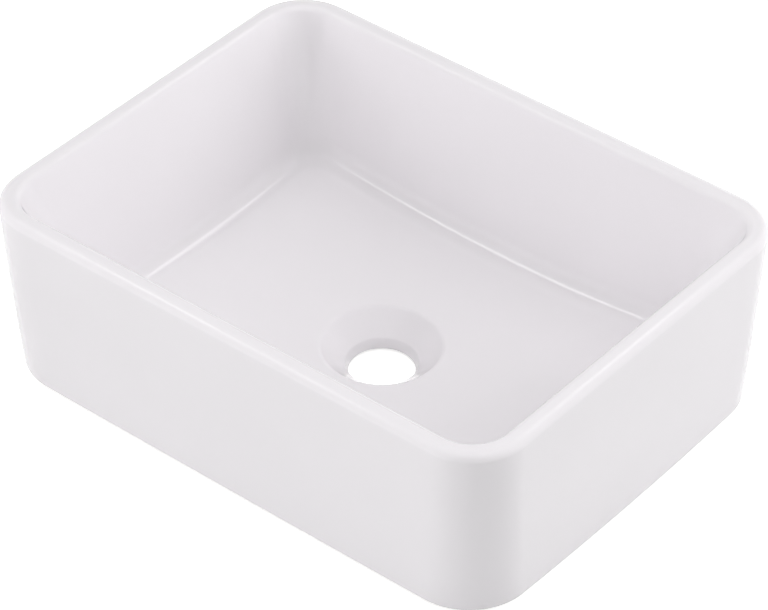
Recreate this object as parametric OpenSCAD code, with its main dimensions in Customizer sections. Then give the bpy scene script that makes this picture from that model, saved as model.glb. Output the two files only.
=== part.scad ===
// Rectangular ceramic basin that stands on a counter. The casting is one skin of even thickness: a
// wall section is carried round a round-cornered plan, from the dished floor over the rim to the foot
// and back under the bowl. The waste recess, its hole and its boss are turned about the middle.

/* [Rim and plan] */
// Length over the rim
basin_l = 400; // [380:1:440]
// Width over the rim, front to back
basin_w = 307; // [290:1:340]
// Height of the ceramic, foot to rim
basin_h = 130; // [122:0.5:140]
// Plan radius of the outer corners at the rim
rim_corner_r = 38.7; // [35:0.1:44]
// Width of the flat band on top of the rim
rim_flat = 3.5; // [2:0.1:6]
// Radius of the rim's outer edge
rim_outer_r = 5.5; // [3:0.1:7]
// Radius of the rim's inner edge
rim_inner_r = 5; // [3:0.1:7]

/* [Outer walls] */
// Plan radius of the outer corners at the foot
foot_corner_r = 41.2; // [38:0.1:46]
// How far each end wall leans in from rim to foot
end_taper = 5.8; // [3:0.1:8]
// How far the front and back walls lean in from rim to foot
side_taper = 6.4; // [3:0.1:8]
// How far the end walls bow out at the foot
end_bow = 3.2; // [0:0.1:4]
// How far the front and back walls bow out at the foot
side_bow = 0.5; // [0:0.1:2]
// How far the outer walls swell at half height
wall_swell = 0.5; // [0:0.1:0.7]
// Radius of the foot's outer edge
foot_edge_r = 3; // [1:0.1:4]

/* [Bowl] */
// Length of the bowl's floor between its coves
floor_l = 289; // [270:1:300]
// Width of the bowl's floor between its coves
floor_w = 209; // [190:1:220]
// Plan radius of the floor's corners
floor_corner_r = 15; // [10:0.5:20]
// Plan radius of the bowl's corners where its walls meet the cove
wall_corner_r = 22; // [18:0.5:26]
// Height of the middle of the floor above the foot
floor_z = 21.8; // [20:0.1:28]
// Radius of the floor's dish
dish_r = 1050; // [900:10:2000]
// Radius of the cove between the floor and the walls
cove_r = 14; // [10:0.5:18]
// Angle that the cove turns through, from the floor to the walls
cove_turn = 73; // [70:1:78]

/* [Casting] */
// Thickness of the bowl and of the outer walls
wall_t = 9; // [7:0.1:10]
// Depth of solid ceramic from the rim down to the hollow between the walls
rim_depth = 44; // [40:1:60]
// Width of the unglazed foot ring
foot_w = 10; // [10:0.5:18]
// Radius of the foot ring's inner edge
foot_inner_r = 1; // [0.5:0.1:2.5]
// Height at which the foot ring has thinned to the outer wall
foot_h = 30; // [20:1:40]

/* [Waste hole] */
// Diameter of the waste hole in its straight throat
waste_d = 43; // [42.5:0.1:46]
// Height of the straight throat
throat_h = 2; // [1:0.1:4]
// Diameter of the waste hole where its flare meets the recess
flare_d = 47; // [46.5:0.1:50]
// Radius of the edge between the flare and the recess
flare_edge_r = 3; // [1:0.1:5]
// Diameter of the recess at the level of the floor
recess_d = 78.5; // [70:0.5:84]
// Radius of the edge between the recess and the floor
recess_edge_r = 5; // [1:0.1:7]
// Slope of the recess
recess_slope = 41.7; // [38:0.1:43]
// Height of the boss's face above the foot
boss_z = 1.5; // [0.5:0.1:3]
// Width of the flat face round the hole under the boss
boss_face_w = 9; // [7:0.1:12]
// Distance by which the boss is wider than the recess, each side
boss_lip = 8; // [6:0.1:12]

/* [Pads] */
// Length of a pad
pad_l = 30; // [15:1:50]
// Width of a pad
pad_w = 5.5; // [4:0.5:9]
// Thickness of a pad
pad_t = 1; // [0.5:0.1:3]
// Distance from the middle of the basin to the middle of a pad
pad_x = 120; // [60:1:135]

/* [Hidden] */

// Steps in a plan corner, in the long and short sides, in a bend of the section and in a wall
corner_steps = 14;
long_steps = 6;
short_steps = 4;
bend_steps = 6;
wall_steps = 4;
turned_fn = 120;

ring_size = 4 * (corner_steps + 1) + 2 * (long_steps - 1) + 2 * (short_steps - 1);
hollow_top = basin_h - rim_depth;
rim_in = rim_outer_r + rim_flat;
waste_r = waste_d / 2;
flare_r = flare_d / 2;
recess_r = recess_d / 2;
under_floor_z = floor_z - wall_t;

function mix(a, b, t) = a + (b - a) * t;
function heading(angle) = [cos(angle), sin(angle)];
function steps(n) = [for (i = [0 : n]) i / n];
function inner_steps(n) = [for (i = [1 : n - 1]) i / n];
function backwards(list) = [for (i = [len(list) - 1 : -1 : 0]) list[i]];

// Height that the dish adds to a point of the floor
function dish(p) = (p.x * p.x + p.y * p.y) / (2 * dish_r);
function floor_at(r) = floor_z + dish([r, 0]);

// Plan: a rectangle of half sizes a and b with corner radius r, corner k counted from +X +Y
function corner(k, a, b, r) = [
    (k % 4 == 0 || k % 4 == 3) ? a - r : r - a,
    (k % 4 < 2) ? b - r : r - b
];
function corner_arc(k, a, b, r) = [
    for (t = steps(corner_steps)) corner(k, a, b, r) + r * heading(90 * (k + t))
];
function side(k, a, b, r) = [
    for (t = inner_steps(k % 2 == 0 ? long_steps : short_steps))
        mix(corner(k, a, b, r), corner(k + 1, a, b, r), t) + r * heading(90 * (k + 1))
];
function plan(a, b, r) = [for (k = [0 : 3]) each concat(corner_arc(k, a, b, r), side(k, a, b, r))];

// Each wall bows out in plan, most in its middle, by a share of the bow at the foot
function bowed(p, a, b, share) = [
    p.x + sign(p.x) * end_bow * share * (1 - pow(p.y / b, 2)),
    p.y + sign(p.y) * side_bow * share * (1 - pow(p.x / a, 2))
];

// A station of the section is [end inset, side inset, height, corner radius, dish share, bow share]
function station_ring(s) = let (a = basin_l / 2 - s[0], b = basin_w / 2 - s[1]) [
    for (p = plan(a, b, s[3]))
        let (q = bowed(p, a, b, s[5])) [q.x, q.y, s[2] + s[4] * dish(q)]
];

// Outer face at a height, moved in by an inset. It is full size from the rim's outer edge up
function lean(taper, t) = taper * (1 - t) - 4 * wall_swell * t * (1 - t);
function outer_station(z, inset) = let (t = min(1, z / (basin_h - rim_outer_r))) [
    lean(end_taper, t) + inset,
    lean(side_taper, t) + inset,
    z,
    mix(foot_corner_r, rim_corner_r, t) - inset,
    0,
    1 - t
];

// Floor of the bowl at a share of its size, and its underside
floor_shares = [0.3, 0.5, 0.75];
function floor_station(share, z) = [
    (basin_l - share * floor_l) / 2,
    (basin_w - share * floor_w) / 2,
    z,
    share * floor_corner_r,
    1,
    0
];

// Cove at a share of its turn, with the casting's thickness added to reach its outer face
function cove_station(share, thickness) = let (turn = share * cove_turn, r = cove_r + thickness) [
    (basin_l - floor_l) / 2 - r * sin(turn),
    (basin_w - floor_w) / 2 - r * sin(turn),
    floor_z + cove_r - r * cos(turn),
    mix(floor_corner_r, wall_corner_r, share) + thickness * sin(turn),
    1,
    0
];

// Inner edge of the rim at a share of the same turn
function rim_station(share) = let (
    turn = share * cove_turn,
    inset = rim_in + rim_inner_r * sin(turn)
) [inset, inset, basin_h - rim_inner_r * (1 - cos(turn)), rim_corner_r - inset, 0, 0];

// Bowl wall at a share of the way from the cove up to the rim, and its outer face
function bowl_wall(share) = mix(cove_station(1, 0), rim_station(1), share);
skin_normal = wall_t * [-sin(cove_turn), -sin(cove_turn), -cos(cove_turn), sin(cove_turn), 0, 0];
function bowl_skin(share) = bowl_wall(share) + skin_normal;
hollow_share = (hollow_top - bowl_skin(0)[2]) / (bowl_skin(1)[2] - bowl_skin(0)[2]);

section = concat(
    [for (share = floor_shares) floor_station(share, floor_z)],
    [for (t = steps(bend_steps)) cove_station(t, 0)],
    [for (t = inner_steps(wall_steps)) bowl_wall(t)],
    [for (t = backwards(steps(bend_steps))) rim_station(t)],
    [
        for (t = steps(bend_steps))
            outer_station(basin_h - rim_outer_r * (1 - cos(90 * t)), rim_outer_r * (1 - sin(90 * t)))
    ],
    [
        for (t = inner_steps(wall_steps))
            outer_station(mix(basin_h - rim_outer_r, foot_edge_r, t), 0)
    ],
    [
        for (t = steps(bend_steps))
            outer_station(foot_edge_r * (1 - sin(90 * t)), foot_edge_r * (1 - cos(90 * t)))
    ],
    [
        outer_station(0, foot_w - foot_inner_r),
        outer_station(foot_inner_r, foot_w),
        outer_station(foot_h, wall_t),
        outer_station(hollow_top, wall_t),
        bowl_skin(hollow_share),
        bowl_skin(hollow_share / 2)
    ],
    [for (t = backwards(steps(bend_steps))) cove_station(t, wall_t)],
    [for (share = backwards(floor_shares)) floor_station(share, under_floor_z)]
);

// Closed skin through all rings of the section, from the middle of the floor to the middle beneath it
module casting() {
    rings = [for (s = section) station_ring(s)];
    last = len(section) - 1;
    top = ring_size * len(section);
    bottom = top + 1;
    points = concat([for (ring = rings) each ring], [[0, 0, floor_z], [0, 0, under_floor_z]]);
    faces = concat(
        [for (j = [0 : ring_size - 1]) [top, (j + 1) % ring_size, j]],
        [
            for (i = [0 : last - 1])
                for (j = [0 : ring_size - 1])
                    let (
                        a = i * ring_size + j,
                        b = i * ring_size + (j + 1) % ring_size,
                        c = b + ring_size,
                        d = a + ring_size
                    )
                    each [[a, b, c], [a, c, d]]
        ],
        [for (j = [0 : ring_size - 1]) [last * ring_size + j, last * ring_size + (j + 1) % ring_size, bottom]]
    );
    polyhedron(points, faces, convexity = 8);
}

// Boss under the waste hole, sloped like the recess above it
module waste_boss() {
    outer_r = recess_r + boss_lip;
    rotate_extrude($fn = turned_fn)
        polygon([
            [0, boss_z],
            [waste_r + boss_face_w, boss_z],
            [outer_r, under_floor_z + dish([outer_r, 0]) + 1],
            [outer_r, floor_z - wall_t / 3],
            [0, floor_z - wall_t / 3]
        ]);
}

// Arc of a rounded edge whose surface turns from one slope to a steeper one
function edge_arc(centre, radius, slope, steeper) = [
    for (t = steps(bend_steps))
        let (turn = mix(slope, steeper, t))
        centre + radius * [-sin(turn), cos(turn)]
];

// Space of the waste, turned as one: rounded edge, sloped recess, rounded edge, flare and throat
module waste_space() {
    first_turn = 8;
    rim_z = floor_at(recess_r);
    rim_centre = [recess_r + recess_edge_r * tan(recess_slope / 2), rim_z - recess_edge_r];
    rim_arc = edge_arc(rim_centre, recess_edge_r, first_turn, recess_slope);
    throat_z = boss_z + throat_h;
    flare_z = rim_z - (recess_r - flare_r) * tan(recess_slope);
    flare_slope = atan2(flare_z - throat_z, flare_r - waste_r);
    middle = (recess_slope + flare_slope) / 2;
    reach = flare_edge_r / cos(flare_slope - middle);
    flare_centre = [flare_r + reach * sin(middle), flare_z - reach * cos(middle)];
    flare_arc = edge_arc(flare_centre, flare_edge_r, recess_slope, flare_slope);
    lead_in = rim_arc[0] + recess_edge_r * heading(first_turn);
    rotate_extrude($fn = turned_fn)
        polygon(concat(
            [[0, lead_in.y + 1], [lead_in.x, lead_in.y + 1], lead_in],
            rim_arc,
            flare_arc,
            [[waste_r, throat_z], [waste_r, boss_z - 1], [0, boss_z - 1]]
        ));
}

module basin_body() {
    color("white")
        translate([0, 0, pad_t])
        difference() {
            union() {
                casting();
                waste_boss();
            }
            waste_space();
        }
}

// Pad with round ends, stuck under the flat of the foot ring
module pad(end, row) {
    flat_middle = (foot_edge_r + foot_w - foot_inner_r) / 2;
    bow = side_bow * (1 - pow(pad_x / (basin_l / 2 - end_taper), 2));
    straight = pad_l - pad_w;
    color("dimgray")
        translate([end * pad_x, row * (basin_w / 2 - side_taper + bow - flat_middle), 0]) {
            translate([-straight / 2, -pad_w / 2, 0])
                cube([straight, pad_w, pad_t]);
            for (tip = [-1, 1])
                translate([tip * straight / 2, 0, 0])
                    cylinder(h = pad_t, d = pad_w, $fn = 48);
        }
}

module pad_front_left() pad(-1, -1);
module pad_front_right() pad(1, -1);
module pad_back_left() pad(-1, 1);
module pad_back_right() pad(1, 1);

basin_body();
pad_front_left();
pad_front_right();
pad_back_left();
pad_back_right();
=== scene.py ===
"""Looks of a rectangular countertop basin: one glazed casting on four thin rubber pads.

The casting is modelled as its mould is drawn. Each outline of its section is laid as a plane with
bevelled corners, or as a circle near the waste hole. Neighbouring outlines are bridged, from the
floor of the bowl over the rim to the foot and back beneath it. The sizes of the casting, the pads
and the patterns are in millimetres and become metres where they are used. The studio's sizes are
in metres, unless a docstring says otherwise.
"""

import logging
import math
from dataclasses import dataclass, field
from enum import Enum

import bmesh
import bpy
from bmesh.types import BMesh, BMLayerItem
from bpy.types import Material, Node, NodeSocket, NodeTree, Object
from mathutils import Matrix, Vector


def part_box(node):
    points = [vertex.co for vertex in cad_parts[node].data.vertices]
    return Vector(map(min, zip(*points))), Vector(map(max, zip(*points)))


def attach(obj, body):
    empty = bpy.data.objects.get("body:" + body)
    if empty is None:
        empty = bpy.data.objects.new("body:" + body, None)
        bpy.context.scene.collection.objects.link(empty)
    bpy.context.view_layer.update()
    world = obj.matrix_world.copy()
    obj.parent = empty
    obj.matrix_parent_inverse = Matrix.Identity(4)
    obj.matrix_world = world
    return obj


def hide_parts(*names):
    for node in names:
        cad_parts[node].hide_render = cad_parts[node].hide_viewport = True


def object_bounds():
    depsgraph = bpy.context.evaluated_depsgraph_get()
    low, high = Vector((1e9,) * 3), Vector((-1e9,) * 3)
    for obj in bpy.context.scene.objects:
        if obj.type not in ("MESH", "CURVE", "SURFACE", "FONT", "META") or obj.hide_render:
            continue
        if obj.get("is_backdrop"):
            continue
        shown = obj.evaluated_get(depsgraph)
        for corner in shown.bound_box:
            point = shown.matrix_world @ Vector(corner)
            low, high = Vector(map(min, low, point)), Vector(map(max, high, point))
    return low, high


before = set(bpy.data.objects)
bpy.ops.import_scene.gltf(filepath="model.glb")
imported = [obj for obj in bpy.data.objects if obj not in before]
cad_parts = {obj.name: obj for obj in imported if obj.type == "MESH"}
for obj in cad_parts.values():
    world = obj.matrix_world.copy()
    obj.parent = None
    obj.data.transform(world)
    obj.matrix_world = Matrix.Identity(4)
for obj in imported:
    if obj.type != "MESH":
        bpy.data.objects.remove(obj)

MM = 0.001

# Layer that numbers each ring of the casting, and the height between rings before they are shaped.
RING_TAG = "ring"
RING_SPACING = 0.02

# Share of a ring's longest edge from which an edge is one of its straight sides.
STRAIGHT_SIDE = 0.99

# Distance within which two corners of a mesh are one, in metres.
WELD = 1e-6

# Inputs and output of a Mix node for colours, which shares its names with the other kinds of Mix.
MIX_FIRST, MIX_SECOND, MIX_RESULT = 6, 7, 2

WHITE = (1.0, 1.0, 1.0, 1.0)

log = logging.getLogger("basin")


class Cover(Enum):
    """What the kiln left on a band of the casting."""

    GLAZE = 0
    BARE = 1


class PadPlace(Enum):
    """Corner of the foot ring that carries a pad, named as its CAD node is."""

    FRONT_LEFT = "pad_front_left"
    FRONT_RIGHT = "pad_front_right"
    BACK_LEFT = "pad_back_left"
    BACK_RIGHT = "pad_back_right"


def mix(a: float, b: float, share: float) -> float:
    """Returns the number at a share of the way from a to b."""
    return a + (b - a) * share


def shares(count: int, first: int = 0, last: int = 0) -> list[float]:
    """Returns even shares from 0 to 1.

    Args:
        count: Number of steps from 0 to 1.
        first: Steps left out at the start.
        last: Steps left out at the end.
    """
    return [i / count for i in range(first, count + 1 - last)]


def linear(code: str) -> tuple[float, float, float, float]:
    """Returns an sRGB hex colour as linear red, green and blue with full alpha."""
    parts = [int(code[i : i + 2], 16) / 255 for i in (1, 3, 5)]
    low = [c / 12.92 if c <= 0.04045 else ((c + 0.055) / 1.055) ** 2.4 for c in parts]
    return (low[0], low[1], low[2], 1.0)


def pattern_scale(size_mm: float) -> float:
    """Returns the Scale of a noise whose features are that many millimetres across."""
    return 1 / (size_mm * MM)


def direction(azimuth: float, elevation: float) -> Vector:
    """Returns the unit vector from the basin towards a place in the studio.

    Args:
        azimuth: Angle seen from above, 0 in front of the basin and 90 at its right.
        elevation: Angle above the horizon, in degrees.
    """
    turn, rise = math.radians(azimuth), math.radians(elevation)
    reach = math.cos(rise)
    return Vector((math.sin(turn) * reach, -math.cos(turn) * reach, math.sin(rise)))


def tagged_mesh(piece: Object) -> tuple[BMesh, BMLayerItem]:
    """Returns the mesh of a piece in edit mode and the layer that numbers its rings."""
    mesh = bmesh.from_edit_mesh(piece.data)
    return mesh, mesh.verts.layers.int[RING_TAG]


def deselect_all() -> None:
    """Deselects every object, so that an operator acts on the new piece alone."""
    for thing in bpy.context.selected_objects:
        thing.select_set(False)


def add_node(
    tree: NodeTree,
    kind: str,
    settings: dict[str, object] | None = None,
    values: dict[str | int, object] | None = None,
    links: dict[str | int, NodeSocket] | None = None,
) -> Node:
    """Adds a node with its settings and links.

    Args:
        tree: The node tree it goes into.
        kind: The node's type.
        settings: Properties of the node by name.
        values: Constants of its inputs by name or number.
        links: Sockets that feed its inputs by name or number.

    Returns:
        The new node.
    """
    node = tree.nodes.new(kind)
    for key, value in (settings or {}).items():
        setattr(node, key, value)
    for key, value in (values or {}).items():
        node.inputs[key].default_value = value
    for key, socket in (links or {}).items():
        tree.links.new(socket, node.inputs[key])
    return node


def new_tree(name: str) -> tuple[Material, NodeTree, Node]:
    """Makes an empty material.

    Args:
        name: The material's name.

    Returns:
        The material, its node tree and its output node.
    """
    material = bpy.data.materials.new(name)
    material.use_nodes = True
    tree = material.node_tree
    tree.nodes.clear()
    return material, tree, tree.nodes.new("ShaderNodeOutputMaterial")


@dataclass(frozen=True)
class WhiteGlaze:
    """Glossy white feldspar glaze, poured and fired on vitreous china.

    The eye sees an even, faintly cool white under a clear skin that mirrors the softboxes. The
    skin is not optically flat: it ripples slowly over the walls and has a fine orange peel. Where
    the glaze ran thinner, in soft clouds, it is a touch greyer and less glossy.
    """

    colour: str = "#EFECEF"
    thin_colour: str = "#ECE9EC"
    cloud_mm: float = 60.0
    roughness: float = 0.07
    roughness_spread: float = 0.03
    ior: float = 1.52
    ripple_mm: float = 38.0
    ripple_depth_mm: float = 0.02
    peel_mm: float = 2.6
    peel_depth_mm: float = 0.0007

    def build(self) -> Material:
        """Makes the material from Object coordinates in metres."""
        material, tree, output = new_tree("fired_white_glaze")
        place = add_node(tree, "ShaderNodeTexCoord").outputs["Object"]
        cloud = add_node(
            tree,
            "ShaderNodeTexNoise",
            values={"Scale": pattern_scale(self.cloud_mm), "Detail": 2.0, "Roughness": 0.4},
            links={"Vector": place},
        )
        tint = add_node(
            tree,
            "ShaderNodeMix",
            settings={"data_type": "RGBA"},
            values={MIX_FIRST: linear(self.colour), MIX_SECOND: linear(self.thin_colour)},
            links={"Factor": cloud.outputs["Fac"]},
        )
        gloss = add_node(
            tree,
            "ShaderNodeMapRange",
            values={
                "To Min": self.roughness,
                "To Max": self.roughness + self.roughness_spread,
            },
            links={"Value": cloud.outputs["Fac"]},
        )
        ripple = add_node(
            tree,
            "ShaderNodeTexNoise",
            values={"Scale": pattern_scale(self.ripple_mm), "Detail": 1.0},
            links={"Vector": place},
        )
        peel = add_node(
            tree,
            "ShaderNodeTexNoise",
            values={"Scale": pattern_scale(self.peel_mm), "Detail": 1.0},
            links={"Vector": place},
        )
        slow = add_node(
            tree,
            "ShaderNodeBump",
            values={"Distance": self.ripple_depth_mm * MM},
            links={"Height": ripple.outputs["Fac"]},
        )
        fine = add_node(
            tree,
            "ShaderNodeBump",
            values={"Distance": self.peel_depth_mm * MM},
            links={"Height": peel.outputs["Fac"], "Normal": slow.outputs["Normal"]},
        )
        shader = add_node(
            tree,
            "ShaderNodeBsdfPrincipled",
            values={"IOR": self.ior},
            links={
                "Base Color": tint.outputs[MIX_RESULT],
                "Roughness": gloss.outputs["Result"],
                "Normal": fine.outputs["Normal"],
            },
        )
        tree.links.new(shader.outputs["BSDF"], output.inputs["Surface"])
        return material


@dataclass(frozen=True)
class BareBiscuit:
    """Fired clay body where the glaze was wiped off or never reached, ground on the foot ring.

    The eye sees a matt, slightly warm white with a fine sandy grain and faint kiln stains. The
    grain is drawn coarser than the real grit, so that it shows.
    """

    colour: str = "#E6E1D8"
    stain_colour: str = "#CFC5B6"
    stain_mm: float = 24.0
    stain_start: float = 0.52
    stain_full: float = 0.8
    stain_strength: float = 0.6
    grain_mm: float = 0.8
    grain_depth_mm: float = 0.05
    roughness: float = 0.72
    ior: float = 1.5

    def build(self) -> Material:
        """Makes the material from Object coordinates in metres."""
        material, tree, output = new_tree("bare_fired_body")
        place = add_node(tree, "ShaderNodeTexCoord").outputs["Object"]
        stain = add_node(
            tree,
            "ShaderNodeTexNoise",
            values={"Scale": pattern_scale(self.stain_mm), "Detail": 4.0, "Roughness": 0.6},
            links={"Vector": place},
        )
        spread = add_node(
            tree,
            "ShaderNodeMapRange",
            values={
                "From Min": self.stain_start,
                "From Max": self.stain_full,
                "To Max": self.stain_strength,
            },
            links={"Value": stain.outputs["Fac"]},
        )
        tint = add_node(
            tree,
            "ShaderNodeMix",
            settings={"data_type": "RGBA"},
            values={MIX_FIRST: linear(self.colour), MIX_SECOND: linear(self.stain_colour)},
            links={"Factor": spread.outputs["Result"]},
        )
        grain = add_node(
            tree,
            "ShaderNodeTexNoise",
            values={"Scale": pattern_scale(self.grain_mm), "Detail": 3.0},
            links={"Vector": place},
        )
        rough = add_node(
            tree,
            "ShaderNodeBump",
            values={"Distance": self.grain_depth_mm * MM},
            links={"Height": grain.outputs["Fac"]},
        )
        shader = add_node(
            tree,
            "ShaderNodeBsdfPrincipled",
            values={"IOR": self.ior, "Roughness": self.roughness},
            links={"Base Color": tint.outputs[MIX_RESULT], "Normal": rough.outputs["Normal"]},
        )
        tree.links.new(shader.outputs["BSDF"], output.inputs["Surface"])
        return material


@dataclass(frozen=True)
class PadRubber:
    """Moulded dark rubber, as on self-adhesive pads.

    The eye sees a matt charcoal skin with a fine speckle, drawn coarser than the real one, so that
    it shows.
    """

    colour: str = "#504F52"
    speck_colour: str = "#5E5D60"
    speck_mm: float = 0.7
    speck_depth_mm: float = 0.03
    roughness: float = 0.78
    ior: float = 1.52

    def build(self) -> Material:
        """Makes the material from Object coordinates in metres."""
        material, tree, output = new_tree("moulded_pad_rubber")
        place = add_node(tree, "ShaderNodeTexCoord").outputs["Object"]
        speck = add_node(
            tree,
            "ShaderNodeTexNoise",
            values={"Scale": pattern_scale(self.speck_mm), "Detail": 2.0},
            links={"Vector": place},
        )
        tint = add_node(
            tree,
            "ShaderNodeMix",
            settings={"data_type": "RGBA"},
            values={MIX_FIRST: linear(self.colour), MIX_SECOND: linear(self.speck_colour)},
            links={"Factor": speck.outputs["Fac"]},
        )
        bumps = add_node(
            tree,
            "ShaderNodeBump",
            values={"Distance": self.speck_depth_mm * MM},
            links={"Height": speck.outputs["Fac"]},
        )
        shader = add_node(
            tree,
            "ShaderNodeBsdfPrincipled",
            values={"IOR": self.ior, "Roughness": self.roughness},
            links={"Base Color": tint.outputs[MIX_RESULT], "Normal": bumps.outputs["Normal"]},
        )
        tree.links.new(shader.outputs["BSDF"], output.inputs["Surface"])
        return material


@dataclass(frozen=True)
class Ring:
    """One outline of the casting seen from above, in millimetres.

    Attributes:
        half_x: Half its length.
        half_y: Half its width.
        height: Its height over the counter, before the dish is added.
        corner_r: Plan radius of its corners, equal to both half sizes on a round ring.
        dished: Share of the floor's dish that it takes.
        bowed: Share of the bow that the walls have at the foot.
        cover: What covers the band from this ring to the next.
    """

    half_x: float
    half_y: float
    height: float
    corner_r: float
    dished: float = 0.0
    bowed: float = 0.0
    cover: Cover = Cover.GLAZE

    @property
    def is_round(self) -> bool:
        """True for a full circle about the waste hole."""
        return self.half_x == self.half_y == self.corner_r


@dataclass
class Casting:
    """The fired body: bowl, rim, outer walls, foot ring, hollow and waste hole in one skin.

    Its overall size comes from the frame. Lengths are in millimetres and angles in degrees.

    Attributes:
        rim_corner_r: Plan radius of the rim's corners.
        rim_flat: Width of the flat on top of the rim.
        rim_outer_r: Radius of the rim's outer edge.
        rim_inner_r: Radius of the rim's inner edge.
        foot_corner_r: Plan radius of the foot's corners.
        end_taper: How far each end leans in from rim to foot.
        side_taper: How far the front and the back lean in.
        end_bow: How far the middle of each end stands out at the foot.
        side_bow: How far the middle of the front and the back stands out.
        wall_swell: How far the outer walls swell at half their height.
        foot_edge_r: Radius of the foot's outer edge.
        floor_l: Length of the floor.
        floor_w: Width of the floor.
        floor_corner_r: Plan radius of the floor's corners.
        wall_corner_r: Plan radius of the bowl's corners on top of the cove.
        floor_height: Height of the dish's middle over the foot.
        dish_r: Radius of the dish.
        cove_r: Radius of the cove.
        cove_turn: Angle that the cove turns through, which is also the wall's slope.
        wall_t: Thickness of the casting.
        rim_depth: How far below the rim the hollow ends.
        foot_w: Width of the foot ring.
        foot_glaze: Share of the foot's outer edge that the glaze covers.
        foot_inner_r: Radius of the foot ring's inner edge.
        foot_h: Height at which the foot ring has thinned to the wall's thickness.
        throat_r: Radius of the waste hole.
        throat_h: Length of its straight part.
        flare_r: Radius of the flare on top of it.
        flare_edge_r: Radius of the round between the flare and the recess.
        recess_r: Radius of the recess.
        recess_edge_r: Radius of the recess's edge.
        recess_slope: Slope of the recess's wall.
        boss_height: Height of the boss's face over the foot.
        boss_face_r: Radius of the boss's face.
        boss_foot_r: Radius of the boss where it meets the floor's underside.
        floor_bands: Size of each ring of the floor, as a share, and its corners' radius.
        floor_edge: Size of the last ring before the cove, as a share.
        skin_bands: Places of the rings on the bowl's outer face, from the hollow's end down.
        under_bands: Size of each ring under the floor, as a share, and its corners' radius.
        corner_steps: Steps round a corner of a ring.
        long_steps: Steps along its front and back.
        short_steps: Steps along its ends.
        bend_steps: Steps over a bend of the section.
        edge_steps: Steps over the foot ring's inner edge.
        wall_steps: Steps up a wall.
        hollow_steps: Steps up the hollow's outer face.
        smooth_angle: Angle between faces from which an edge stays sharp.
        half_l: Half the overall length.
        half_w: Half the overall width.
        foot_z: Height of the foot over the counter.
        height: Height of the rim over the foot.
        rim_in: Distance from the outline in to the rim's inner edge.
        ring_size: Number of corners of the mesh in each ring.
    """

    rim_corner_r: float = 38.7
    rim_flat: float = 3.5
    rim_outer_r: float = 5.5
    rim_inner_r: float = 5.0
    foot_corner_r: float = 41.2
    end_taper: float = 5.8
    side_taper: float = 6.4
    end_bow: float = 3.2
    side_bow: float = 0.5
    wall_swell: float = 0.5
    foot_edge_r: float = 3.0
    floor_l: float = 289.0
    floor_w: float = 209.0
    floor_corner_r: float = 15.0
    wall_corner_r: float = 22.0
    floor_height: float = 21.8
    dish_r: float = 1050.0
    cove_r: float = 14.0
    cove_turn: float = 73.0
    wall_t: float = 9.0
    rim_depth: float = 44.0
    foot_w: float = 10.0
    foot_glaze: float = 0.5
    foot_inner_r: float = 1.0
    foot_h: float = 30.0
    throat_r: float = 21.5
    throat_h: float = 2.0
    flare_r: float = 23.5
    flare_edge_r: float = 3.0
    recess_r: float = 39.25
    recess_edge_r: float = 5.0
    recess_slope: float = 41.7
    boss_height: float = 1.5
    boss_face_r: float = 30.5
    boss_foot_r: float = 46.0
    floor_bands: tuple[tuple[float, float], ...] = (
        (0.45, 36.0),
        (0.62, 32.0),
        (0.8, 22.0),
        (0.93, 16.5),
    )
    floor_edge: float = 0.985
    skin_bands: tuple[float, ...] = (1.0, 0.67, 0.33)
    under_bands: tuple[tuple[float, float], ...] = ((0.8, 22.0), (0.6, 36.0))
    corner_steps: int = 24
    long_steps: int = 16
    short_steps: int = 12
    bend_steps: int = 8
    edge_steps: int = 4
    wall_steps: int = 10
    hollow_steps: int = 2
    smooth_angle: float = 32.0
    half_l: float = field(init=False)
    half_w: float = field(init=False)
    foot_z: float = field(init=False)
    height: float = field(init=False)
    rim_in: float = field(init=False)
    ring_size: int = field(init=False)

    def __post_init__(self) -> None:
        """Takes the overall size and the foot's height from the frame."""
        low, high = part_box("basin_body")
        self.half_l = (high.x - low.x) / 2 / MM
        self.half_w = (high.y - low.y) / 2 / MM
        self.foot_z = low.z / MM
        self.height = (high.z - low.z) / MM
        self.rim_in = self.rim_outer_r + self.rim_flat
        corners = 4 * (self.corner_steps + 1)
        self.ring_size = corners + 2 * (self.long_steps + self.short_steps - 2)

    def inset_ring(
        self,
        end_in: float,
        side_in: float,
        height: float,
        corner_r: float,
        dished: float = 0.0,
        bowed: float = 0.0,
        cover: Cover = Cover.GLAZE,
    ) -> Ring:
        """Returns the ring that lies a distance inside the rim's outline.

        Args:
            end_in: Distance in from each end.
            side_in: Distance in from the front and the back.
            height: Height above the foot.
            corner_r: Plan radius of the corners.
            dished: Share of the dish.
            bowed: Share of the bow.
            cover: What covers the band from this ring to the next.
        """
        return Ring(
            self.half_l - end_in,
            self.half_w - side_in,
            height + self.foot_z,
            corner_r,
            dished,
            bowed,
            cover,
        )

    def round_ring(
        self, radius: float, height: float, dished: float = 0.0, cover: Cover = Cover.GLAZE
    ) -> Ring:
        """Returns a circle about the waste hole.

        Args:
            radius: Its radius.
            height: Height above the foot.
            dished: Share of the dish.
            cover: What covers the band from this ring to the next.
        """
        return Ring(radius, radius, height + self.foot_z, radius, dished, 0.0, cover)

    def dish(self, reach: float) -> float:
        """Returns how far the dish lifts a point of the floor that far from the middle."""
        return reach * reach / (2 * self.dish_r)

    def floor_ring(self, share: float, corner_r: float, height: float, cover: Cover) -> Ring:
        """Returns a ring of the floor, or of its underside.

        Args:
            share: Its size as a share of the floor's.
            corner_r: Plan radius of its corners.
            height: Height above the foot, in the middle of the dish.
            cover: What covers the band from this ring to the next.
        """
        return Ring(
            share * self.floor_l / 2,
            share * self.floor_w / 2,
            height + self.foot_z,
            corner_r,
            1.0,
            0.0,
            cover,
        )

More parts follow.
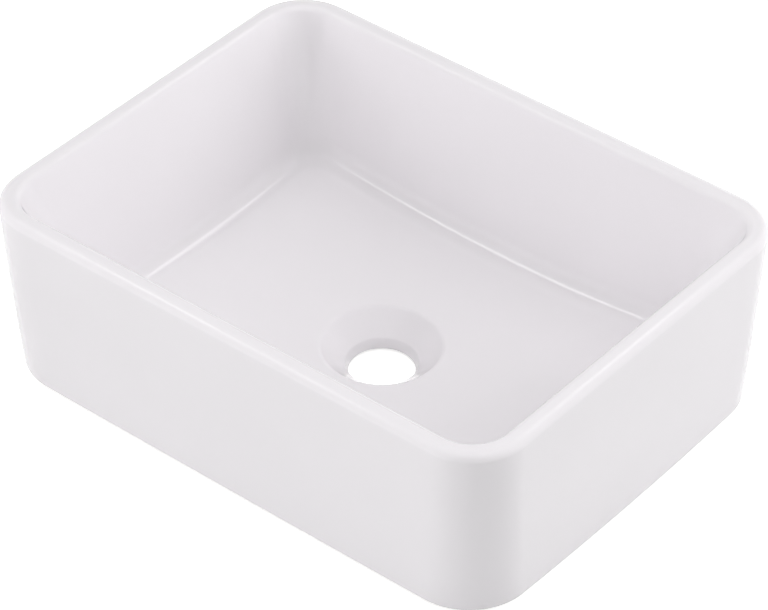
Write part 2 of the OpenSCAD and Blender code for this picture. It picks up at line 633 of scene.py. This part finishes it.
    def cove_ring(self, share: float, thickness: float, cover: Cover) -> Ring:
        """Returns a ring of the cove, or of its outer face.

        Args:
            share: Share of the cove's turn, from the floor up.
            thickness: Thickness of the casting to go through, outwards.
            cover: What covers the band from this ring to the next.
        """
        turn = math.radians(share * self.cove_turn)
        radius = self.cove_r + thickness
        return self.inset_ring(
            self.half_l - self.floor_l / 2 - radius * math.sin(turn),
            self.half_w - self.floor_w / 2 - radius * math.sin(turn),
            self.floor_height + self.cove_r - radius * math.cos(turn),
            mix(self.floor_corner_r, self.wall_corner_r, share) + thickness * math.sin(turn),
            dished=1.0,
            cover=cover,
        )

    def rim_ring(self, share: float) -> Ring:
        """Returns a ring of the rim's inner edge at a share of the cove's turn."""
        turn = math.radians(share * self.cove_turn)
        inset = self.rim_in + self.rim_inner_r * math.sin(turn)
        drop = self.rim_inner_r * (1 - math.cos(turn))
        return self.inset_ring(inset, inset, self.height - drop, self.rim_corner_r - inset)

    def wall_ring(self, share: float, thickness: float, cover: Cover) -> Ring:
        """Returns a ring of the bowl's wall, or of its outer face.

        Args:
            share: Share of the way from the cove up to the rim.
            thickness: Thickness of the casting to go through, outwards.
            cover: What covers the band from this ring to the next.
        """
        low, high = self.cove_ring(1.0, 0.0, cover), self.rim_ring(1.0)
        turn = math.radians(self.cove_turn)
        out, down = thickness * math.sin(turn), thickness * math.cos(turn)
        return Ring(
            mix(low.half_x, high.half_x, share) + out,
            mix(low.half_y, high.half_y, share) + out,
            mix(low.height, high.height, share) - down,
            mix(low.corner_r, high.corner_r, share) + out,
            1 - share,
            0.0,
            cover,
        )

    def outer_ring(self, height: float, inset: float, cover: Cover = Cover.GLAZE) -> Ring:
        """Returns a ring of the outer walls.

        Args:
            height: Height above the foot.
            inset: Distance inside the wall's face.
            cover: What covers the band from this ring to the next.
        """
        share = min(1.0, height / (self.height - self.rim_outer_r))
        swell = 4 * self.wall_swell * share * (1 - share)
        return self.inset_ring(
            self.end_taper * (1 - share) - swell + inset,
            self.side_taper * (1 - share) - swell + inset,
            height,
            mix(self.foot_corner_r, self.rim_corner_r, share) - inset,
            bowed=1 - share,
            cover=cover,
        )

    def bowl_rings(self) -> list[Ring]:
        """Returns the rings of the bowl from its floor up to the flat of the rim."""
        glaze = Cover.GLAZE
        bands = self.floor_bands + ((self.floor_edge, self.floor_corner_r),)
        floor = [self.floor_ring(t, radius, self.floor_height, glaze) for t, radius in bands]
        cove = [self.cove_ring(t, 0.0, glaze) for t in shares(self.bend_steps)]
        wall = [self.wall_ring(t, 0.0, glaze) for t in shares(self.wall_steps, 1, 1)]
        rim = [self.rim_ring(1 - t) for t in shares(self.bend_steps)]
        return floor + cove + wall + rim

    def outside_rings(self) -> list[Ring]:
        """Returns the rings from the rim's outer edge down the walls to the foot's inner edge."""
        rim, wall, foot = [], [], []
        for t in shares(self.bend_steps):
            turn = math.radians(90 * t)
            inset = self.rim_outer_r * (1 - math.sin(turn))
            drop = self.rim_outer_r * (1 - math.cos(turn))
            rim.append(self.outer_ring(self.height - drop, inset))
        for t in shares(self.wall_steps, 1, 1):
            high = self.height - self.rim_outer_r
            wall.append(self.outer_ring(mix(high, self.foot_edge_r, t), 0.0))
        for t in shares(self.bend_steps):
            turn = math.radians(90 * t)
            height = self.foot_edge_r * (1 - math.sin(turn))
            inset = self.foot_edge_r * (1 - math.cos(turn))
            cover = Cover.GLAZE if t < self.foot_glaze else Cover.BARE
            foot.append(self.outer_ring(height, inset, cover))
        for t in shares(self.edge_steps):
            turn = math.radians(90 * t)
            inset = self.foot_w - self.foot_inner_r * (1 - math.sin(turn))
            height = self.foot_inner_r * (1 - math.cos(turn))
            foot.append(self.outer_ring(height, inset, Cover.BARE))
        return rim + wall + foot

    def hollow_rings(self) -> list[Ring]:
        """Returns the rings from the foot up into the hollow and down under the bowl's floor."""
        bare = Cover.BARE
        top = self.height - self.rim_depth
        low = self.wall_ring(0.0, self.wall_t, bare)
        high = self.wall_ring(1.0, self.wall_t, bare)
        reach = (top + self.foot_z - low.height) / (high.height - low.height)
        outer = [
            self.outer_ring(mix(self.foot_h, top, t), self.wall_t, bare)
            for t in shares(self.hollow_steps)
        ]
        skin = [self.wall_ring(reach * t, self.wall_t, bare) for t in self.skin_bands]
        cove = [self.cove_ring(1 - t, self.wall_t, bare) for t in shares(self.bend_steps)]
        under_z = self.floor_height - self.wall_t
        under = [self.floor_ring(t, radius, under_z, bare) for t, radius in self.under_bands]
        return outer + skin + cove + under

    def waste_rings(self) -> list[Ring]:
        """Returns the round rings of the boss, the waste hole and its sloped recess."""
        slope = math.radians(self.recess_slope)
        lip_z = self.floor_height + self.dish(self.recess_r)
        lip_x = self.recess_r + self.recess_edge_r * math.tan(slope / 2)
        throat_z = self.boss_height + self.throat_h
        flare_z = lip_z - (self.recess_r - self.flare_r) * math.tan(slope)
        flare = math.atan2(flare_z - throat_z, self.flare_r - self.throat_r)
        middle = (slope + flare) / 2
        reach = self.flare_edge_r / math.cos(flare - middle)
        edge_x = self.flare_r + reach * math.sin(middle)
        edge_z = flare_z - reach * math.cos(middle)
        under_z = self.floor_height - self.wall_t
        boss = [
            self.round_ring(self.boss_foot_r, under_z, 1.0, Cover.BARE),
            self.round_ring(self.boss_face_r, self.boss_height, 0.0, Cover.BARE),
        ]
        hole = [
            self.round_ring(self.throat_r, self.boss_height),
            self.round_ring(self.throat_r, throat_z),
        ]
        for t in shares(self.bend_steps):
            turn = mix(flare, slope, t)
            radius = edge_x - self.flare_edge_r * math.sin(turn)
            hole.append(self.round_ring(radius, edge_z + self.flare_edge_r * math.cos(turn)))
        tilt = math.atan(self.recess_r / self.dish_r)
        lip = []
        for t in shares(self.bend_steps):
            turn = mix(slope, tilt, t)
            radius = lip_x - self.recess_edge_r * math.sin(turn)
            height = lip_z - self.recess_edge_r * (1 - math.cos(turn))
            lip.append(self.round_ring(radius, height))
        return boss + hole + lip

    def lay_ring(self, piece: Object, ring: Ring, number: int) -> None:
        """Lays one ring into the mesh in edit mode and tags it.

        Rings wait one above the other until they are bridged, because a bridge between two rings
        at one height can cross over. shape_rings then brings each to its own height.

        Args:
            piece: The object in edit mode.
            ring: The outline to lay.
            number: Its tag, counted from 1.
        """
        place = (0.0, 0.0, number * RING_SPACING)
        if ring.is_round:
            bpy.ops.mesh.primitive_circle_add(
                vertices=self.ring_size,
                radius=ring.corner_r * MM,
                location=place,
            )
        else:
            bpy.ops.mesh.primitive_plane_add(size=2, location=place)
            bpy.ops.transform.resize(
                value=(ring.half_x * MM, ring.half_y * MM, 1.0), center_override=place
            )
            bpy.ops.mesh.bevel(
                offset=ring.corner_r * MM,
                segments=self.corner_steps,
                affect="VERTICES",
                profile=0.5,
            )
            bpy.ops.mesh.delete(type="ONLY_FACE")
            self.cut_sides(piece, ring)
        mesh, tag = tagged_mesh(piece)
        for vert in mesh.verts:
            if vert[tag] == 0:
                vert[tag] = number

    def cut_sides(self, piece: Object, ring: Ring) -> None:
        """Cuts the straight sides of a fresh ring, so that they can bow and take the dish.

        Args:
            piece: The object in edit mode.
            ring: The outline that was laid.
        """
        for axis, steps in ((0, self.long_steps), (1, self.short_steps)):
            mesh, tag = tagged_mesh(piece)
            fresh = [edge for edge in mesh.edges if edge.verts[0][tag] == 0]
            spans = [abs(edge.verts[0].co[axis] - edge.verts[1].co[axis]) for edge in fresh]
            longest = max(spans)
            bpy.ops.mesh.select_all(action="DESELECT")
            for edge, span in zip(fresh, spans):
                if span > STRAIGHT_SIDE * longest:
                    edge.select_set(True)
            bmesh.update_edit_mesh(piece.data)
            bpy.ops.mesh.subdivide(number_cuts=steps - 1)

    def bridge(self, piece: Object, first: int, second: int) -> None:
        """Bridges two tagged rings with a band of faces.

        Args:
            piece: The object in edit mode.
            first: Tag of one ring.
            second: Tag of the other.
        """
        mesh, tag = tagged_mesh(piece)
        bpy.ops.mesh.select_all(action="DESELECT")
        for edge in mesh.edges:
            tags = {edge.verts[0][tag], edge.verts[1][tag]}
            if tags == {first} or tags == {second}:
                edge.select_set(True)
        bmesh.update_edit_mesh(piece.data)
        bpy.ops.mesh.bridge_edge_loops()

    def shape_rings(self, piece: Object, rings: list[Ring]) -> None:
        """Brings the rings to their heights, bows the walls and gives the floor its dish.

        Args:
            piece: The object in edit mode.
            rings: The rings in the order of their tags.
        """
        mesh, tag = tagged_mesh(piece)
        for vert in mesh.verts:
            ring = rings[vert[tag] - 1]
            x, y = vert.co.x / MM, vert.co.y / MM
            end = self.end_bow * ring.bowed * (1 - (y / ring.half_y) ** 2)
            side = self.side_bow * ring.bowed * (1 - (x / ring.half_x) ** 2)
            x += math.copysign(end, x)
            y += math.copysign(side, y)
            lift = ring.dished * self.dish(math.hypot(x, y))
            vert.co = Vector((x, y, ring.height + lift)) * MM
        mesh.normal_update()
        bmesh.update_edit_mesh(piece.data)

    def cover_bands(self, piece: Object, rings: list[Ring]) -> None:
        """Gives each band the material slot of what covers it.

        Args:
            piece: The object in edit mode.
            rings: The rings in the order of their tags.
        """
        mesh, tag = tagged_mesh(piece)
        for face in mesh.faces:
            tags = {vert[tag] for vert in face.verts}
            number = len(rings) if tags == {1, len(rings)} else min(tags)
            face.material_index = rings[number - 1].cover.value
        mesh.verts.layers.int.remove(tag)
        bmesh.update_edit_mesh(piece.data)

    def build(self, glaze: Material, bare: Material) -> None:
        """Models the casting and puts it in the place of its CAD node.

        Args:
            glaze: Material of the glazed bands.
            bare: Material of the bare bands.
        """
        rings = self.bowl_rings() + self.outside_rings()
        rings += self.hollow_rings() + self.waste_rings()
        deselect_all()
        bpy.ops.mesh.primitive_plane_add(size=2)
        piece = bpy.context.object
        piece.name = piece.data.name = "casting"
        piece.data.materials.append(glaze)
        piece.data.materials.append(bare)
        bpy.ops.object.mode_set(mode="EDIT")
        bpy.ops.mesh.select_mode(type="VERT")
        bpy.ops.mesh.select_all(action="SELECT")
        bpy.ops.mesh.delete(type="VERT")
        bmesh.from_edit_mesh(piece.data).verts.layers.int.new(RING_TAG)
        for number, ring in enumerate(rings, 1):
            self.lay_ring(piece, ring, number)
            if number > 1:
                self.bridge(piece, number - 1, number)
        self.bridge(piece, len(rings), 1)
        self.shape_rings(piece, rings)
        self.cover_bands(piece, rings)
        bpy.ops.mesh.select_all(action="SELECT")
        bpy.ops.mesh.normals_make_consistent(inside=False)
        bpy.ops.object.mode_set(mode="OBJECT")
        bpy.ops.object.shade_smooth_by_angle(angle=math.radians(self.smooth_angle))
        even = piece.modifiers.new("even_normals", "WEIGHTED_NORMAL")
        even.keep_sharp = True
        bpy.ops.object.modifier_apply(modifier=even.name)
        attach(piece, "root")
        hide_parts("basin_body")
        log.info("%s: %d rings, %d faces", piece.name, len(rings), len(piece.data.polygons))


@dataclass
class Pad:
    """A thin rubber pad with round ends, stuck under the foot ring.

    Attributes:
        place: The corner of the foot ring that carries it.
        edge_r: Radius of its lower edge, in millimetres.
        edge_steps: Steps round that edge.
        end_steps: Steps in each quarter of a round end.
        smooth_angle: Angle between faces from which an edge stays sharp, in degrees.
    """

    place: PadPlace
    edge_r: float = 0.3
    edge_steps: int = 3
    end_steps: int = 10
    smooth_angle: float = 40.0

    def build(self, rubber: Material) -> None:
        """Models the pad in the box of its CAD node and replaces that node.

        Args:
            rubber: The pad's material.
        """
        low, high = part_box(self.place.value)
        centre, size = (low + high) / 2, high - low
        deselect_all()
        bpy.ops.mesh.primitive_plane_add(size=1, location=(0, 0, 0))
        piece = bpy.context.object
        piece.name = piece.data.name = self.place.value.replace("pad", "rubber_pad")
        bpy.ops.object.mode_set(mode="EDIT")
        bpy.ops.mesh.select_mode(type="VERT")
        bpy.ops.transform.resize(value=(size.x, size.y, 1.0), center_override=(0, 0, 0))
        bpy.ops.transform.translate(value=(centre.x, centre.y, high.z))
        bpy.ops.mesh.bevel(
            offset=size.y / 2 - WELD,
            segments=2 * self.end_steps,
            affect="VERTICES",
            profile=0.5,
        )
        bpy.ops.mesh.select_all(action="SELECT")
        bpy.ops.mesh.extrude_region_move(TRANSFORM_OT_translate={"value": (0, 0, -size.z)})
        bpy.ops.mesh.select_mode(type="EDGE")
        bpy.ops.mesh.bevel(offset=self.edge_r * MM, segments=self.edge_steps, affect="EDGES")
        bpy.ops.mesh.select_all(action="SELECT")
        bpy.ops.mesh.remove_doubles(threshold=WELD)
        bpy.ops.mesh.normals_make_consistent(inside=False)
        bpy.ops.object.mode_set(mode="OBJECT")
        bpy.ops.object.shade_smooth_by_angle(angle=math.radians(self.smooth_angle))
        piece.data.materials.append(rubber)
        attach(piece, "root")
        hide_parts(self.place.value)
        log.info("%s: %d faces", piece.name, len(piece.data.polygons))


@dataclass(frozen=True)
class Softbox:
    """A lamp behind a rectangle of white cloth, aimed at the basin.

    Attributes:
        name: What a photographer would call it.
        azimuth: Where it stands seen from above, 0 in front of the basin and 90 at its right.
        elevation: Its height above the horizon, in degrees.
        power: Its power, in watts.
        width: Width of the cloth, in metres.
        height: Height of the cloth, in metres.
        mirrored: True if it shows in the gloss of the glaze, False for a plain fill.
        distance: Distance from the basin, in metres.
    """

    name: str
    azimuth: float
    elevation: float
    power: float
    width: float = 1.4
    height: float = 1.4
    mirrored: bool = False
    distance: float = 2.2

    def build(self, aim: Vector) -> None:
        """Puts the lamp in its place.

        Args:
            aim: The point that it faces.
        """
        back = direction(self.azimuth, self.elevation)
        lamp = bpy.data.lights.new(self.name, "AREA")
        lamp.shape = "RECTANGLE"
        lamp.size = self.width
        lamp.size_y = self.height
        lamp.energy = self.power
        stand = bpy.data.objects.new(self.name, lamp)
        stand.location = aim + back * self.distance
        stand.rotation_mode = "QUATERNION"
        stand.rotation_quaternion = (-back).to_track_quat("-Z", "Y")
        stand.visible_glossy = self.mirrored
        bpy.context.scene.collection.objects.link(stand)
        log.info("%s at %.0f, %.0f degrees", self.name, self.azimuth, self.elevation)


SOFTBOXES = (
    Softbox("left_key", -57.5, 53.0, 1.85, width=0.7, height=0.28, mirrored=True),
    Softbox("right_key", 167.0, 52.0, 1.15, width=0.54, height=0.28, mirrored=True),
    Softbox("left_fill", -45.0, 10.0, 14.6),
    Softbox("front_fill", 0.0, 10.0, 10.6),
    Softbox("back_fill", 135.0, 10.0, 20.0),
    Softbox("back_top_fill", 135.0, 42.0, 13.8),
    Softbox("front_top_fill", 45.0, 42.0, 6.9),
    Softbox("left_top_fill", -75.0, 42.0, 4.4),
    Softbox("overhead_fill", 20.0, 74.0, 16.0),
)


@dataclass(frozen=True)
class Reflector:
    """White cloth round a side of the set, seen only in a gloss.

    Attributes:
        azimuth: Where its middle stands, 0 in front of the basin and 90 at its right.
        full: Angle to each side of the middle up to which it is full, in degrees.
        gone: Angle to each side of the middle where it has faded out, in degrees.
        top: Elevation up to which it is full, in degrees.
        edge: Elevation where it has faded out, in degrees.
        level: How bright it shows, where the backdrop before the eye is 1.
    """

    azimuth: float
    full: float
    gone: float
    top: float
    edge: float
    level: float = 1.0

    def build(self, tree: NodeTree, way: NodeSocket) -> NodeSocket:
        """Adds the cloth to the room.

        Args:
            tree: The room's node tree.
            way: The direction that is looked in.

        Returns:
            A socket with its brightness in that direction.
        """
        flat = add_node(
            tree,
            "ShaderNodeVectorMath",
            settings={"operation": "MULTIPLY"},
            values={1: (1.0, 1.0, 0.0)},
            links={0: way},
        )
        heading = add_node(
            tree,
            "ShaderNodeVectorMath",
            settings={"operation": "NORMALIZE"},
            links={0: flat.outputs["Vector"]},
        )
        facing = add_node(
            tree,
            "ShaderNodeVectorMath",
            settings={"operation": "DOT_PRODUCT"},
            values={1: direction(self.azimuth, 0.0)},
            links={0: heading.outputs["Vector"]},
        )
        across = add_node(
            tree,
            "ShaderNodeMapRange",
            settings={"interpolation_type": "SMOOTHSTEP"},
            values={
                "From Min": math.cos(math.radians(self.gone)),
                "From Max": math.cos(math.radians(self.full)),
            },
            links={"Value": facing.outputs["Value"]},
        )
        rise = add_node(tree, "ShaderNodeSeparateXYZ", links={"Vector": way}).outputs["Z"]
        upward = add_node(
            tree,
            "ShaderNodeMapRange",
            settings={"interpolation_type": "SMOOTHSTEP"},
            values={
                "From Min": math.sin(math.radians(self.top)),
                "From Max": math.sin(math.radians(self.edge)),
                "To Min": self.level,
                "To Max": 0.0,
            },
            links={"Value": rise},
        )
        return add_node(
            tree,
            "ShaderNodeMath",
            settings={"operation": "MULTIPLY"},
            links={0: across.outputs["Result"], 1: upward.outputs["Result"]},
        ).outputs[0]


REFLECTORS = (
    Reflector(azimuth=85.0, full=28.0, gone=50.0, top=10.0, edge=22.0),
    Reflector(azimuth=-141.0, full=45.0, gone=95.0, top=24.0, edge=38.0),
    Reflector(azimuth=-141.0, full=45.0, gone=95.0, top=50.0, edge=56.0, level=0.55),
)


@dataclass(frozen=True)
class Studio:
    """White floor and surround, and the softboxes over them.

    Attributes:
        floor_size: Side of the floor, in metres.
        floor_colour: Colour that the floor throws back on the basin.
        room_level: Strength of the room's own light.
        ceiling_level: How bright the bare room shows in a gloss, where white is 1.
        glow: Light that the floor adds before the eye, which makes it white where it isn't shaded.
        shade: Share of the shadows that is left before the eye.
        mirrored_glow: Light that it adds in a gloss, low enough to keep the waste hole's edge dim.
        mirrored_shade: Share of the shadows that is left in a gloss.
    """

    floor_size: float = 12.0
    floor_colour: str = "#D0D0D0"
    room_level: float = 0.2
    ceiling_level: float = 0.05
    glow: float = 0.75
    shade: float = 0.6
    mirrored_glow: float = 0.3
    mirrored_shade: float = 1.0

    def seen(self, tree: NodeTree) -> NodeSocket:
        """Adds the test for rays that show the background, to the eye or in a gloss or glass.

        Args:
            tree: The node tree it goes into.

        Returns:
            A socket that is 1 on such rays.
        """
        path = add_node(tree, "ShaderNodeLightPath")
        seen = path.outputs["Is Camera Ray"]
        for kind in ("Is Glossy Ray", "Is Transmission Ray"):
            seen = add_node(
                tree,
                "ShaderNodeMath",
                settings={"operation": "MAXIMUM"},
                links={0: seen, 1: path.outputs[kind]},
            ).outputs[0]
        return seen

    def floor_material(self) -> Material:
        """Makes the floor's material: plain to the basin, white with soft shadows to the eye."""
        material, tree, output = new_tree("studio_floor")
        colour = linear(self.floor_colour)
        plain = add_node(tree, "ShaderNodeBsdfDiffuse", values={"Color": colour})
        eye = add_node(tree, "ShaderNodeLightPath").outputs["Is Camera Ray"]
        depth = add_node(
            tree,
            "ShaderNodeMapRange",
            values={"To Min": self.mirrored_shade, "To Max": self.shade},
            links={"Value": eye},
        )
        lift = add_node(
            tree,
            "ShaderNodeMapRange",
            values={"To Min": self.mirrored_glow, "To Max": self.glow},
            links={"Value": eye},
        )
        shaded = add_node(tree, "ShaderNodeBsdfDiffuse", links={"Color": depth.outputs["Result"]})
        glow = add_node(tree, "ShaderNodeEmission", links={"Strength": lift.outputs["Result"]})
        white = add_node(
            tree,
            "ShaderNodeAddShader",
            links={0: shaded.outputs["BSDF"], 1: glow.outputs["Emission"]},
        )
        choice = add_node(
            tree,
            "ShaderNodeMixShader",
            links={
                "Fac": self.seen(tree),
                1: plain.outputs["BSDF"],
                2: white.outputs["Shader"],
            },
        )
        tree.links.new(choice.outputs["Shader"], output.inputs["Surface"])
        return material

    def build_floor(self) -> None:
        """Lays the floor that the pads stand on."""
        deselect_all()
        bpy.ops.mesh.primitive_plane_add(size=self.floor_size, location=(0, 0, 0))
        floor = bpy.context.object
        floor.name = "studio_floor"
        floor.data.materials.append(self.floor_material())
        floor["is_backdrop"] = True

    def build_room(self) -> None:
        """Makes the room: white before the eye, dim in a gloss but for its reflectors."""
        world = bpy.data.worlds.new("studio_room")
        bpy.context.scene.world = world
        world.use_nodes = True
        tree = world.node_tree
        tree.nodes.clear()
        output = tree.nodes.new("ShaderNodeOutputWorld")
        way = add_node(tree, "ShaderNodeTexCoord").outputs["Generated"]
        path = add_node(tree, "ShaderNodeLightPath")
        level = add_node(
            tree,
            "ShaderNodeMath",
            settings={"operation": "MAXIMUM"},
            values={1: self.ceiling_level},
            links={0: path.outputs["Is Camera Ray"]},
        ).outputs[0]
        for reflector in REFLECTORS:
            level = add_node(
                tree,
                "ShaderNodeMath",
                settings={"operation": "MAXIMUM"},
                links={0: level, 1: reflector.build(tree, way)},
            ).outputs[0]
        room = add_node(
            tree,
            "ShaderNodeBackground",
            values={"Color": WHITE, "Strength": self.room_level},
        )
        white = add_node(
            tree,
            "ShaderNodeBackground",
            values={"Color": WHITE},
            links={"Strength": level},
        )
        choice = add_node(
            tree,
            "ShaderNodeMixShader",
            links={
                "Fac": self.seen(tree),
                1: room.outputs["Background"],
                2: white.outputs["Background"],
            },
        )
        tree.links.new(choice.outputs["Shader"], output.inputs["Surface"])

    def build(self, aim: Vector) -> None:
        """Builds the floor, the room and the lamps.

        Args:
            aim: The point that the lamps face.
        """
        self.build_floor()
        self.build_room()
        for softbox in SOFTBOXES:
            softbox.build(aim)


@dataclass(frozen=True)
class ProductCamera:
    """A long lens that looks down on the basin's front right corner.

    Attributes:
        azimuth: Where it stands seen from above, 0 in front of the basin and 90 at its right.
        elevation: Its height above the horizon, in degrees.
        roll: Its turn about its own axis, in degrees.
        distance: Distance to the point it looks at, in metres.
        target: The point it looks at, in millimetres from the foot's middle.
        lens: Focal length, in millimetres.
        sensor: Width of the sensor, in millimetres.
        clip: Nearest and farthest distance that it shows, in metres.
    """

    azimuth: float = 39.408
    elevation: float = 39.031
    roll: float = 0.078
    distance: float = 2.4111
    target: tuple[float, float, float] = (9.062, -9.05, 64.935)
    lens: float = 181.972
    sensor: float = 36.0
    clip: tuple[float, float] = (0.1, 50.0)

    def build(self, foot_z: float) -> None:
        """Puts the camera in its place and makes it the scene's.

        Args:
            foot_z: Height of the ceramic foot over the floor, in millimetres.
        """
        back = direction(self.azimuth, self.elevation)
        right = Vector((0, 0, 1)).cross(back).normalized()
        up = back.cross(right)
        tilt = math.radians(self.roll)
        across = right * math.cos(tilt) + up * math.sin(tilt)
        upward = up * math.cos(tilt) - right * math.sin(tilt)
        target = (Vector(self.target) + Vector((0, 0, foot_z))) * MM
        data = bpy.data.cameras.new("product_camera")
        data.sensor_width = self.sensor
        data.lens = self.lens
        data.clip_start, data.clip_end = self.clip
        camera = bpy.data.objects.new("product_camera", data)
        axes = Matrix((across, upward, back)).transposed().to_4x4()
        camera.matrix_world = Matrix.Translation(target + back * self.distance) @ axes
        bpy.context.scene.collection.objects.link(camera)
        bpy.context.scene.camera = camera


def corners(box: tuple[Vector, Vector]) -> list[list[float]]:
    """Returns the two corners of a box as plain lists."""
    return [list(corner) for corner in box]


def main() -> None:
    """Builds the camera, the studio, the casting and its pads."""
    logging.basicConfig(level=logging.INFO, format="%(name)s: %(message)s")
    cad_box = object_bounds()
    casting = Casting()
    ProductCamera().build(casting.foot_z)
    bpy.context.scene.view_settings.view_transform = "Standard"
    low, high = cad_box
    Studio().build((low + high) / 2)
    casting.build(WhiteGlaze().build(), BareBiscuit().build())
    rubber = PadRubber().build()
    for place in PadPlace:
        Pad(place).build(rubber)


if __name__ == "__main__":
    main()
